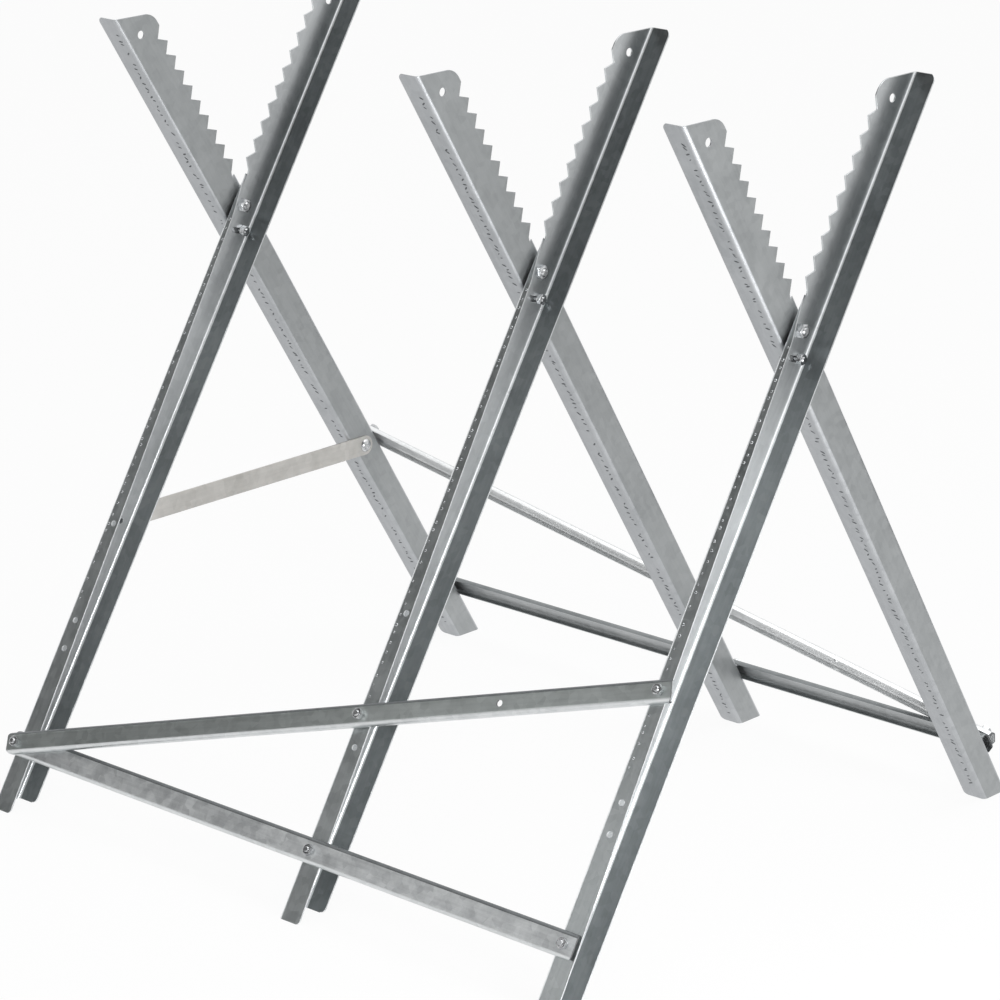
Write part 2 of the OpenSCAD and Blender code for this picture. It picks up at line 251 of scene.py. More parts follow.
@dataclass(frozen=True)
class GalvanisedSheet:
    """Hot dipped sheet: spangled crystals, cloudy mottle and faint rolling streaks.

    The lean about X and the tilt about Z lay the piece flat, in degrees, and the grain squeezes the streaks along it.
    Below the given height the zinc has gone matt. The weights of the tone are for cloud, crystal and streak, those of
    the gloss for cloud and crystal, and those of the relief for crystal, grit and cloud.
    """

    name: str
    dull: Colour
    bright: Colour
    lean: float = 0.0
    tilt: float = 0.0
    grain: Point3 = (0.06, 1.0, 1.0)
    smooth: float = 0.30
    rough: float = 0.46
    spangles_per_metre: float = 130.0
    clouds: Noise = Noise(16.0, 6.0, 0.62)
    streaks: Noise = Noise(320.0, 3.0, 0.55)
    grit: Noise = Noise(900.0, 2.0)
    smears: Noise = Noise(75.0, 5.0, 0.7, 0.6)
    tone_weights: Point3 = (0.55, 0.16, 0.29)
    tone_stops: Point3 = (0.30, 0.50, 0.72)
    gloss_weights: Point2 = (0.7, 0.3)
    scuff: float = 0.35
    scuff_stops: Point2 = (0.66, 0.78)
    scuff_tint: Colour = (0.52, 0.54, 0.55)
    matt_below: float = 0.0
    matt: float = 0.5
    matt_fade: float = 0.06
    relief: float = 0.12
    relief_weights: Point3 = (0.35, 0.15, 0.15)
    relief_depth: float = 0.6 * MM

    def material(self) -> bpy.types.Material:
        """Builds the material.

        Returns:
            The sheet's material.
        """
        sheet = ShaderSheet(self.name)
        place = sheet.node("ShaderNodeTexCoord").outputs["Object"]
        turn = (math.radians(self.lean), 0.0, math.radians(self.tilt))
        along = sheet.node("ShaderNodeMapping", {"Vector": place, "Rotation": turn}).outputs[0]
        drawn = sheet.node("ShaderNodeMapping", {"Vector": along, "Scale": self.grain}).outputs[0]
        crystal = sheet.node("ShaderNodeTexVoronoi", {"Vector": along, "Scale": self.spangles_per_metre})
        facet = sheet.node("ShaderNodeSeparateColor", {"Color": crystal.outputs["Color"]}).outputs[0]
        cloud, grit = (sheet.noise(along, noise) for noise in (self.clouds, self.grit))
        streak, smear = (sheet.noise(drawn, noise) for noise in (self.streaks, self.smears))

        tone = sheet.weighted((cloud, facet, streak), self.tone_weights)
        middle = tuple((low + high) / 2 for low, high in zip(self.dull, self.bright))
        colour = sheet.ramp(tone, self.tone_stops, (self.dull, middle, self.bright))
        mark = sheet.ramp(smear, self.scuff_stops, (BLACK, WHITE))
        worn = sheet.node("ShaderNodeMix", data_type="RGBA", blend_type="MULTIPLY")
        sheet.feed(worn.inputs[0], sheet.math("MULTIPLY", mark, self.scuff))
        sheet.feed(worn.inputs[6], colour)
        sheet.feed(worn.inputs[7], (*self.scuff_tint, 1.0))
        gloss = sheet.weighted((cloud, facet), self.gloss_weights)
        height = sheet.weighted((facet, grit, cloud), self.relief_weights)
        if self.matt_below:
            level = sheet.node("ShaderNodeSeparateXYZ", {"Vector": place}).outputs["Z"]
            fade = sheet.span(level, 1.0 - self.matt, 1.0, self.matt_below - self.matt_fade,
                              self.matt_below + self.matt_fade)
            sheet.feed(sheet.surface.inputs["Metallic"], fade)
        return sheet.metal(worn.outputs[2], sheet.span(gloss, self.smooth, self.rough), height, self.relief,
                           self.relief_depth)


@dataclass(frozen=True)
class PlatedSteel:
    """Electroplated fasteners: bright zinc with turning marks and a little dulling."""

    name: str
    dull: Colour
    bright: Colour
    smooth: float = 0.16
    rough: float = 0.34
    clouds: Noise = Noise(190.0, 4.0)
    marks: Noise = Noise(1500.0, 2.0)
    tone_stops: Point2 = (0.34, 0.62)
    relief: float = 0.12
    relief_depth: float = 0.2 * MM

    def material(self) -> bpy.types.Material:
        """Builds the material.

        Returns:
            The plating's material.
        """
        sheet = ShaderSheet(self.name)
        place = sheet.node("ShaderNodeTexCoord").outputs["Object"]
        cloud, mark = (sheet.noise(place, noise) for noise in (self.clouds, self.marks))
        colour = sheet.ramp(cloud, self.tone_stops, (self.dull, self.bright))
        return sheet.metal(colour, sheet.span(cloud, self.smooth, self.rough), mark, self.relief, self.relief_depth)


@dataclass
class MeshTools:
    """Mesh steps that the pieces share."""

    merge: float = 0.002 * MM
    flat_angle: float = math.radians(0.4)
    crease: float = math.radians(32.0)
    corner: float = math.radians(60.0)
    eased: float = 0.25 * MM
    eased_steps: int = 2

    def link(self, name: str, mesh: bpy.types.Mesh) -> Piece:
        """Puts a mesh into the scene under a name and returns its object."""
        piece = bpy.data.objects.new(name, mesh)
        bpy.context.scene.collection.objects.link(piece)
        return piece

    def settle(self, piece: Piece) -> None:
        """Turns a piece's modifiers into its plain mesh."""
        graph = bpy.context.evaluated_depsgraph_get()
        mesh = bpy.data.meshes.new_from_object(piece.evaluated_get(graph), depsgraph=graph)
        piece.modifiers.clear()
        piece.data = mesh

    def weld(self, work: bmesh.types.BMesh) -> None:
        """Joins doubled corners and takes out faces without area."""
        bmesh.ops.remove_doubles(work, verts=work.verts, dist=self.merge)
        bmesh.ops.dissolve_degenerate(work, edges=work.edges, dist=self.merge)

    def creased(self, work: bmesh.types.BMesh, name: str) -> bpy.types.Mesh:
        """Smooths the faces, keeps the sharp edges sharp and makes the finished mesh.

        Args:
            work: The working mesh, which is freed.
            name: The finished mesh's name.

        Returns:
            The finished mesh.
        """
        for face in work.faces:
            face.smooth = True
        for edge in work.edges:
            edge.smooth = len(edge.link_faces) == 2 and edge.calc_face_angle(0.0) < self.crease
        mesh = bpy.data.meshes.new(name)
        work.to_mesh(mesh)
        work.free()
        return mesh

    def merged(self, node: str) -> bmesh.types.BMesh:
        """Copies a CAD node's loose triangles into one joined mesh.

        Args:
            node: The CAD node's name.

        Returns:
            The joined mesh, to be freed by the caller.
        """
        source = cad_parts[node].data
        work = bmesh.new()
        corners = [work.verts.new(vertex.co) for vertex in source.vertices]
        for polygon in source.polygons:
            work.faces.new([corners[index] for index in polygon.vertices])
        self.weld(work)
        return work

    def refined(self, node: str, name: str) -> Piece:
        """Makes a smooth shaded copy of a sheet metal node.

        Args:
            node: The CAD node's name.
            name: The new piece's name.

        Returns:
            The new piece.
        """
        work = self.merged(node)
        bmesh.ops.dissolve_limit(work, angle_limit=self.flat_angle, verts=work.verts, edges=work.edges)
        sharp = [edge for edge in work.edges
                 if len(edge.link_faces) == 2 and edge.calc_face_angle(0.0) > self.corner]
        bmesh.ops.bevel(work, geom=sharp, offset=self.eased, offset_type="OFFSET", segments=self.eased_steps,
                        profile=0.5, affect="EDGES", clamp_overlap=False)
        piece = self.link(name, self.creased(work, name))
        weigh = piece.modifiers.new("even light on flats", "WEIGHTED_NORMAL")
        weigh.keep_sharp = True
        weigh.weight = 100
        self.settle(piece)
        return piece

    def turned(self, name: str, profile: Profile, segments: int, closed: bool) -> bpy.types.Mesh:
        """Turns a profile about Z.

        Args:
            name: The mesh's name.
            profile: Gives the radius and height of each profile point at an angle, outside from the bottom up.
            segments: The number of steps round the axis.
            closed: Whether the profile runs round a bore and closes on itself.

        Returns:
            The turned mesh.
        """
        work = bmesh.new()
        rings = []
        for step in range(segments):
            angle = math.tau * step / segments
            rings.append([work.verts.new((radius * math.cos(angle), radius * math.sin(angle), height))
                          for radius, height in profile(angle)])
        count = len(rings[0])
        for step in range(segments):
            here, after = rings[step], rings[(step + 1) % segments]
            for index in range(count if closed else count - 1):
                following = (index + 1) % count
                work.faces.new((here[index], after[index], after[following], here[following]))
        self.weld(work)
        bmesh.ops.recalc_face_normals(work, faces=work.faces)
        return self.creased(work, name)

    def island_points(self, node: str) -> list[list[Vector]]:
        """Splits a CAD node into its separate solids.

        Args:
            node: The CAD node's name.

        Returns:
            The corner points of each solid.
        """
        work = self.merged(node)
        left = set(work.verts)
        islands = []
        while left:
            queue = [left.pop()]
            found = []
            while queue:
                corner = queue.pop()
                found.append(corner.co.copy())
                for edge in corner.link_edges:
                    other = edge.other_vert(corner)
                    if other in left:
                        left.remove(other)
                        queue.append(other)
            islands.append(found)
        work.free()
        return islands


TOOLS = MeshTools()


class GrowingTree(NodeSheet):
    """A Geometry Nodes tree with named inputs."""

    def __init__(self, name: str) -> None:
        """Makes the tree with a mesh going in."""
        super().__init__(bpy.data.node_groups.new(name, "GeometryNodeTree"))
        self.identifiers: dict[str, str] = {}
        self.tree.is_modifier = True
        self.tree.interface.new_socket("Mesh", in_out="OUTPUT", socket_type="NodeSocketGeometry")
        self.source = self.tree.nodes.new("NodeGroupInput")
        self.mesh, = self.inputs("Geometry", "Mesh")
        self.turn, = self.inputs("Vector", "Turn")
        self.seed, = self.inputs("Int", "Seed")
        self.material, = self.inputs("Material", "Finish")

    def inputs(self, kind: str, *names: str) -> list[Socket]:
        """Adds named inputs of one kind and returns their sockets inside the tree."""
        for name in names:
            socket = self.tree.interface.new_socket(name, in_out="INPUT", socket_type=f"NodeSocket{kind}")
            self.identifiers[name] = socket.identifier
        return [self.source.outputs[name] for name in names]

    def random(self, low: float, high: float, salt: int) -> Socket:
        """Adds an even random number per point.

        Args:
            low: The least value.
            high: The greatest value.
            salt: A number that sets this draw apart from the others.

        Returns:
            The random value.
        """
        shifted = self.math("ADD", self.seed, float(salt))
        return self.node("FunctionNodeRandomValue", {"Seed": shifted, 2: low, 3: high}, data_type="FLOAT").outputs[1]

    def either_way(self, most: Socket, salt: int) -> Socket:
        """Adds a random number per point, up to the most to either side, and returns it."""
        return self.math("MULTIPLY", self.random(-1.0, 1.0, salt), most)

    def scaled(self, vector: Socket, factor: Socket) -> Socket:
        """Scales a vector and returns it."""
        return self.node("ShaderNodeVectorMath", {0: vector, "Scale": factor}, operation="SCALE").outputs[0]

    def rotation(self, euler: Socket) -> Socket:
        """Turns three angles into a rotation and returns it."""
        return self.node("FunctionNodeEulerToRotation", {"Euler": euler}).outputs["Rotation"]

    def moved(self, shape: Socket, offset: Socket) -> Socket:
        """Shifts the points of a shape and returns it."""
        return self.node("GeometryNodeSetPosition", {"Geometry": shape, "Offset": offset}).outputs["Geometry"]

    def stamped(self, points: Socket, stamp: Socket, **extra: object) -> Socket:
        """Places an object's mesh on points, with its Z axis turned outwards.

        Args:
            points: Where it goes.
            stamp: The object.
            extra: Further inputs of the placing node.

        Returns:
            The placed instances.
        """
        shape = self.node("GeometryNodeObjectInfo", {"Object": stamp}).outputs["Geometry"]
        return self.node("GeometryNodeInstanceOnPoints", {
            "Points": points, "Instance": shape, "Rotation": self.rotation(self.turn), **extra}).outputs["Instances"]

    def spun(self, instances: Socket, angle: Socket) -> Socket:
        """Turns each instance about its own axis and returns the instances."""
        way = self.rotation(self.node("ShaderNodeCombineXYZ", {"Z": angle}).outputs[0])
        return self.node("GeometryNodeRotateInstances", {
            "Instances": instances, "Rotation": way, "Local Space": True}).outputs["Instances"]

    def finish(self, instances: Socket) -> None:
        """Realizes the instances, gives them their material and closes the tree."""
        solid = self.node("GeometryNodeRealizeInstances", {"Geometry": instances}).outputs["Geometry"]
        dressed = self.node("GeometryNodeSetMaterial", {"Geometry": solid, "Material": self.material})
        self.node("NodeGroupOutput", {"Mesh": dressed.outputs["Geometry"]})

    def grow(self, piece: Piece, values: dict[str, object]) -> None:
        """Runs the tree on a piece and leaves its plain mesh.

        Args:
            piece: The object whose mesh feeds the tree.
            values: The named inputs.
        """
        modifier = piece.modifiers.new(self.tree.name, "NODES")
        modifier.node_group = self.tree
        for name, value in values.items():
            modifier[self.identifiers[name]] = value
        TOOLS.settle(piece)


class StampRows(GrowingTree):
    """Tree that stamps a small shape along lines, a little unevenly."""

    sizes: Point2 = (0.7, 1.2)

    def __init__(self) -> None:
        """Builds the tree."""
        super().__init__("stamped rows")
        pitch, wander, stray, kept, spin = self.inputs("Float", "Pitch", "Wander", "Stray", "Kept Share", "Spin")
        stamp, = self.inputs("Object", "Stamp")

        curve = self.node("GeometryNodeMeshToCurve", {"Mesh": self.mesh}).outputs["Curve"]
        row = self.node("GeometryNodeResampleCurve", {"Curve": curve, "Length": pitch}, mode="LENGTH")
        tangent = self.node("GeometryNodeInputTangent").outputs[0]
        drift = self.scaled(tangent, self.either_way(wander, 1))
        across = self.node("ShaderNodeCombineXYZ", {"X": self.either_way(stray, 2)}).outputs[0]
        offset = self.node("ShaderNodeVectorMath", {0: drift, 1: across}, operation="ADD").outputs[0]
        uneven = self.moved(row.outputs["Curve"], offset)
        points = self.node("GeometryNodeCurveToPoints", {"Curve": uneven}, mode="EVALUATED").outputs["Points"]
        chance = self.math("LESS_THAN", self.random(0.0, 1.0, 3), kept)
        placed = self.stamped(points, stamp, Selection=chance, Scale=self.random(*self.sizes, 4))
        self.finish(self.spun(placed, self.either_way(spin, 5)))


class PlacedStock(GrowingTree):
    """Tree that places one fastener on every point and turns each by chance about its axis."""

    def __init__(self) -> None:
        """Builds the tree."""
        super().__init__("placed fasteners")
        stamp, = self.inputs("Object", "Stamp")
        self.finish(self.spun(self.stamped(self.mesh, stamp), self.random(0.0, math.tau, 1)))


class PlacedBolts(GrowingTree):
    """Tree that builds bolts from a head, a shank of each point's own length and a threaded tip."""

    def __init__(self) -> None:
        """Builds the tree."""
        super().__init__("placed bolts")
        axis, = self.inputs("Vector", "Axis")
        tip_length, = self.inputs("Float", "Tip Length")
        head, shank, tip = self.inputs("Object", "Head", "Shank", "Tip")

        length = self.node("GeometryNodeInputNamedAttribute", {"Name": "shank"}, data_type="FLOAT").outputs[0]
        plain = self.math("SUBTRACT", length, tip_length)
        stretch = self.node("ShaderNodeCombineXYZ", {"X": 1.0, "Y": 1.0, "Z": plain}).outputs[0]
        heads = self.spun(self.stamped(self.mesh, head), self.random(0.0, math.tau, 1))
        shanks = self.stamped(self.mesh, shank, Scale=stretch)
        ends = self.moved(self.mesh, self.scaled(axis, plain))
        tips = self.spun(self.stamped(ends, tip), self.random(0.0, math.tau, 2))
        joined = self.node("GeometryNodeJoinGeometry")
        for part in (tips, shanks, heads):
            self.tree.links.new(part, joined.inputs["Geometry"])
        self.finish(joined.outputs["Geometry"])


@dataclass
class StandSheet:
    """The bent sheet pieces: six legs, four bars and the strap."""

    web_middle: float = 12.5
    flange_turn: float = 0.25
    web_turn: float = 0.97
    end_turn: float = 0.6
    face_turn: float = 0.97
    finishes: dict[str, bpy.types.Material] = field(default_factory=dict)

    def make_finishes(self) -> None:
        """Builds one finish for each kind of sheet; the tones of the leg and bar zones, of front and rear legs and of
        rail and brace hold painted light and shade.
        """
        upright = {"grain": (1.0, 0.06, 1.0)}
        front, rear = {"lean": -SIZES.leg_angle}, {"lean": SIZES.leg_angle}
        front_leg, rear_leg = {**front, **upright}, {**rear, **upright}
        tilted = {"tilt": -SIZES.brace_tilt}
        worn = {"smooth": 0.40, "rough": 0.58}
        satin = {"smooth": 0.40, "rough": 0.55, "scuff": 0.2}
        grey, pale = (0.38, 0.405, 0.415), (0.58, 0.605, 0.615)
        # Painted highlight: these pale tones make the rear brace's lip and hollow a lit copy of the rear rail's
        # darker ones.
        white = ((0.64, 0.655, 0.66), (0.82, 0.83, 0.835))
        lit = {**rear, **tilted, "smooth": 0.34, "rough": 0.50, "relief": 0.04}
        sheets = {
            # Leg tones are painted light: bright bends are painted highlights, the dark front outer flanges and rear
            # webs are painted shade, and front and rear legs are lit and shaded copies of one zinc.
            "front_web": GalvanisedSheet("front web zinc", (0.50, 0.52, 0.53), (0.66, 0.68, 0.69), **front_leg,
                                         smooth=0.27, rough=0.32, matt_below=0.52, relief=0.02),
            "front_bend": GalvanisedSheet("front bend zinc", (0.76, 0.78, 0.79), (0.92, 0.94, 0.95), **front_leg,
                                          smooth=0.24, rough=0.36, matt_below=0.52, matt=0.4, relief=0.08),
            "front_inner": GalvanisedSheet("front inner flange zinc", (0.42, 0.45, 0.455), (0.64, 0.67, 0.675),
                                           **front_leg),
            "front_outer": GalvanisedSheet("front outer flange zinc", (0.18, 0.195, 0.20), (0.28, 0.30, 0.305),
                                           **front_leg, smooth=0.28, rough=0.40, matt_below=0.5, matt=0.35,
                                           relief=0.08),
            "rear_web": GalvanisedSheet("rear web zinc", (0.34, 0.355, 0.36), (0.44, 0.455, 0.46), **rear_leg,
                                        **satin),
            "rear_bend": GalvanisedSheet("rear bend zinc", (0.42, 0.435, 0.45), (0.56, 0.575, 0.59), **rear_leg,
                                         **satin),
            "rear_inner": GalvanisedSheet("rear inner flange zinc", (0.36, 0.375, 0.385), (0.50, 0.515, 0.525),
                                          **rear_leg, smooth=0.36, rough=0.55),
            "rear_outer": GalvanisedSheet("rear outer flange zinc", (0.40, 0.415, 0.43), (0.53, 0.545, 0.56),
                                          **rear_leg, smooth=0.36, rough=0.55),
            # Painted light: the front rail is toned paler than the front brace, a lit copy of the same zinc.
            "front_rail": GalvanisedSheet("front rail zinc", (0.56, 0.58, 0.59), (0.92, 0.94, 0.945), **front,
                                          smooth=0.42, rough=0.62, clouds=Noise(60.0, 6.0, 0.62), scuff=0.6),
            "front_brace": GalvanisedSheet("front brace zinc", (0.50, 0.54, 0.53), (0.74, 0.78, 0.77), **front,
                                           **tilted),
            "rear_rail": GalvanisedSheet("rear rail zinc", grey, pale, **rear),
            "rear_brace": GalvanisedSheet("rear brace zinc", grey, pale, **rear, **tilted),
            # Bar zone tones are painted light: dark upper lips and cut ends are painted shade, pale lower lips are
            # painted highlight.
            "bar_upper": GalvanisedSheet("upper lip zinc", (0.16, 0.17, 0.175), (0.26, 0.275, 0.28),
                                         smooth=0.40, rough=0.60),
            "rear_brace_upper": GalvanisedSheet("rear brace lip zinc", *white, **lit),
            "rear_brace_hollow": GalvanisedSheet("rear brace hollow zinc", *white, **lit, matt_below=1.0),
            "rear_rail_upper": GalvanisedSheet("rear rail lip zinc", (0.22, 0.235, 0.24), (0.34, 0.355, 0.36),
                                               **worn),
            "rear_rail_hollow": GalvanisedSheet("rear rail hollow zinc", (0.42, 0.435, 0.44), (0.56, 0.575, 0.58),
                                                **worn),
            "bar_lower": GalvanisedSheet("lower lip zinc", (0.58, 0.60, 0.605), (0.80, 0.82, 0.825)),
            "bar_hollow": GalvanisedSheet("hollow side zinc", (0.56, 0.575, 0.58), (0.74, 0.755, 0.76), **worn),
            "bar_end": GalvanisedSheet("cut end zinc", (0.12, 0.125, 0.13), (0.22, 0.225, 0.23),
                                       smooth=0.50, rough=0.70),
            "strap": GalvanisedSheet("strap zinc", (0.50, 0.49, 0.465), (0.68, 0.665, 0.64), **upright, **worn,
                                     clouds=Noise(34.0, 6.0, 0.62)),
        }
        for kind, sheet in sheets.items():
            self.finishes[kind] = sheet.material()

    def bar_zone(self, side: Side, face: bpy.types.MeshPolygon) -> BarZone:
        """Tells which zone of a bar a face lies in, and so which painted light or shade it gets.

        Args:
            side: The bar's leaf.
            face: The face.

        Returns:
            Its zone.
        """
        lean = math.radians(SIZES.flange_lean)
        outward = face.normal.dot(Vector((0.0, -side.value * math.sin(lean), math.cos(lean))))
        upward = face.normal.dot(Vector((0.0, side.value * math.cos(lean), math.sin(lean))))
        if abs(face.normal.x) > self.end_turn:
            return BarZone.END
        if outward > self.face_turn:
            return BarZone.FACE
        if outward < -self.face_turn:
            return BarZone.HOLLOW
        return BarZone.UPPER if upward > 0.0 else BarZone.LOWER

    def leg_zone(self, side: Side, face: bpy.types.MeshPolygon) -> LegZone:
        """Tells which zone of a leg a face lies in, and so which painted light or shade it gets.

        Args:
            side: The leg's leaf.
            face: The face.

        Returns:
            Its zone.
        """
        turn = abs(face.normal.x)
        if turn > self.web_turn:
            return LegZone.WEB
        if turn > self.flange_turn:
            return LegZone.BEND
        tilt = math.radians(SIZES.leg_angle)
        height = face.center.z - SIZES.pivot_h * MM
        across = side.value * face.center.y * math.sin(tilt) - height * math.cos(tilt)
        return LegZone.OUTER if across > self.web_middle * MM else LegZone.INNER

    def dress_leg(self, side: Side, number: int) -> Piece:
        """Makes a finished leg whose zones carry painted light and shade: brighter bends as painted highlights,
        darker flanges and webs as painted shade.

        Args:
            side: The leg's leaf.
            number: Its frame, counted from the strap.

        Returns:
            The piece.
        """
        piece = self.dress(side.node(f"leg_{number}"), side.node("web"), side.body)
        kinds = [side.node(zone.name.lower()) for zone in list(LegZone)[1:]]
        return self.zoned(piece, kinds, lambda face: self.leg_zone(side, face))

    def dress_bar(self, side: Side, bar: str) -> Piece:
        """Makes a finished rail or brace whose lips, hollow and cut ends carry painted light and shade: darker upper
        lips and cut ends as painted shade, brighter lower lips as painted highlight.

        Args:
            side: The bar's leaf.
            bar: Which bar it is.

        Returns:
            The piece.
        """
        piece = self.dress(side.node(bar), side.node(bar), side.body)
        kinds = []
        for zone in list(BarZone)[1:]:
            own = f"{side.node(bar)}_{zone.name.lower()}"
            kinds.append(own if own in self.finishes else f"bar_{zone.name.lower()}")
        return self.zoned(piece, kinds, lambda face: self.bar_zone(side, face))

    def zoned(self, piece: Piece, kinds: list[str], pick: Callable[[bpy.types.MeshPolygon], Enum]) -> Piece:
        """Gives each face of a piece the finish of its zone.

        Args:
            piece: The piece, with its first finish.
            kinds: The keys of the further finishes.
            pick: Tells a face's zone.

        Returns:
            The piece.
        """
        for kind in kinds:
            piece.data.materials.append(self.finishes[kind])
        for face in piece.data.polygons:
            face.material_index = pick(face).value
        return piece

    def dress(self, node: str, kind: str, body: str) -> Piece:
        """Makes the finished piece for a CAD node.

        Args:
            node: The CAD node that it stands for.
            kind: The key of its finish.
            body: The body that it rides on.

        Returns:
            The piece.
        """
        piece = TOOLS.refined(node, f"{node}_sheet")
        piece.data.materials.clear()
        piece.data.materials.append(self.finishes[kind])
        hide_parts(node)
        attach(piece, body)
        return piece

    def build(self) -> list[Piece]:
        """Makes every sheet piece.

        Returns:
            The pieces.
        """
        self.make_finishes()
        pieces = []
        for side in Side:
            pieces += [self.dress_leg(side, number + 1) for number in range(len(SIZES.frames))]
            pieces += [self.dress_bar(side, bar) for bar in ("rail", "brace")]
        pieces.append(self.dress("stay_strap", "strap", "stay strap"))
        return pieces


@dataclass(frozen=True)
class MarkRow:
    """One kind of press mark and its rows along the flanges, in millimetres and degrees."""

    name: str
    inner: bool
    lean: float
    from_pivot: float
    from_web: float
    length: float
    width: float
    height: float
    run: Point2
    pitch: float
    wander: float
    stray: float
    kept: float
    spin: float
    seed: int
    finish: GalvanisedSheet | PlatedSteel


PIMPLES = MarkRow(
    "pimple", inner=True, lean=SIZES.flange_lean, from_pivot=-14.4, from_web=6.4, length=3.0, width=3.0, height=0.6,
    run=(-455.0, -22.0), pitch=10.6, wander=2.6, stray=0.7, kept=0.93, spin=0.4, seed=11,
    finish=PlatedSteel("burnished pimples", (0.40, 0.42, 0.43), (0.62, 0.64, 0.65)))
# The ridges' dark tone is painted shade, standing in for the dark their slopes mirror.
RIDGES = MarkRow(
    "ridge", inner=False, lean=SIZES.leg_angle, from_pivot=25.0, from_web=8.6, length=5.4, width=1.8, height=0.4,
    run=(-652.0, 256.0), pitch=6.4, wander=2.2, stray=1.3, kept=0.85, spin=0.9, seed=23,
    finish=GalvanisedSheet("scraped ridges", (0.10, 0.11, 0.115), (0.24, 0.25, 0.26), smooth=0.5, rough=0.7))


@dataclass
class BendMarks:
    """Rows of press marks along the bends: round pimples on the inner flanges, short ridges on the outer ones."""

    kinds: tuple[MarkRow, ...] = (PIMPLES, RIDGES)
    sunk: float = 0.05
    segments: int = 10
    shoulder: Point2 = (0.86, 0.45)
    crown: Point2 = (0.52, 0.86)
    rows: StampRows = field(default_factory=StampRows)

    def lens(self, mark: MarkRow) -> Piece:
        """Makes a low closed pimple or ridge, its foot a little under the sheet.

        Args:
            mark: The kind of mark.

        Returns:
            The shape's object.
        """
        foot, top = -self.sunk, mark.height
        profile = [(0.0, foot), (1.0, foot), (self.shoulder[0], foot + self.shoulder[1] * top),
                   (self.crown[0], self.crown[1] * top), (0.0, top)]
        mesh = TOOLS.turned(mark.name, lambda angle: profile, self.segments, False)
        for vertex in mesh.vertices:
            vertex.co = Vector((vertex.co.x * mark.length / 2, vertex.co.y * mark.width / 2, vertex.co.z)) * MM
        return TOOLS.link(mark.name, mesh)

    def line(self, side: Side, mark: MarkRow, x: float) -> list[Vector]:
        """Gives the ends of one row.

        Args:
            side: The leaf.
            mark: The kind of mark.
            x: The frame's place along the stand.

        Returns:
            The row's two ends in metres.
        """
        lean, tilt = math.radians(mark.lean), math.radians(SIZES.leg_angle)
        base = Vector((0.0, mark.from_pivot * math.sin(tilt), SIZES.pivot_h - mark.from_pivot * math.cos(tilt)))
        across = SIZES.web_back + mark.from_web
        ends = []
        for along in mark.run:
            point = base + along * Vector((0.0, math.cos(lean), math.sin(lean)))
            ends.append(Vector((x + side.value * across, side.value * point.y, point.z)) * MM)
        return ends

    def turn(self, side: Side, mark: MarkRow) -> Euler:
        """Gives the angles that turn a shape's Z axis out of the flange and its X axis across it."""
        lean = math.radians(mark.lean)
        return Euler((side.value * (lean if mark.inner else lean + math.pi), 0.0, 0.0))

    def build(self) -> list[Piece]:
        """Makes the rows of both leaves.

        Returns:
            The pieces, two for each leaf.
        """
        shapes = [self.lens(mark) for mark in self.kinds]
        finishes = [mark.finish.material() for mark in self.kinds]
        pieces = []
        for side in Side:
            for mark, shape, finish in zip(self.kinds, shapes, finishes):
                ends = [point for x in SIZES.frames for point in self.line(side, mark, x)]
                mesh = bpy.data.meshes.new("row lines")
                mesh.from_pydata(ends, [(2 * row, 2 * row + 1) for row in range(len(SIZES.frames))], [])
                piece = TOOLS.link(side.node(f"{mark.name}_rows"), mesh)
                self.rows.grow(piece, {
                    "Pitch": mark.pitch * MM, "Wander": mark.wander * MM, "Stray": mark.stray * MM,
                    "Kept Share": mark.kept, "Spin": mark.spin, "Turn": tuple(self.turn(side, mark)),
                    "Stamp": shape, "Seed": mark.seed, "Finish": finish})
                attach(piece, side.body)
                pieces.append(piece)
        for shape in shapes:
            bpy.data.objects.remove(shape)
        return pieces


@dataclass(frozen=True)
class BoltSize:
    """One thread size with its hexagon and washer, in millimetres."""

    diameter: float
    flats: float
    head: float
    nut: float
    washer: float
    pitch: float
    tip: float
    washer_t: float = 1.5


PIVOT_SIZE = BoltSize(8.0, 13.0, 5.3, 6.8, 16.0, 1.25, 10.0)
SMALL_SIZE = BoltSize(6.0, 10.0, 4.0, 5.2, 11.0, 1.0, 8.5)


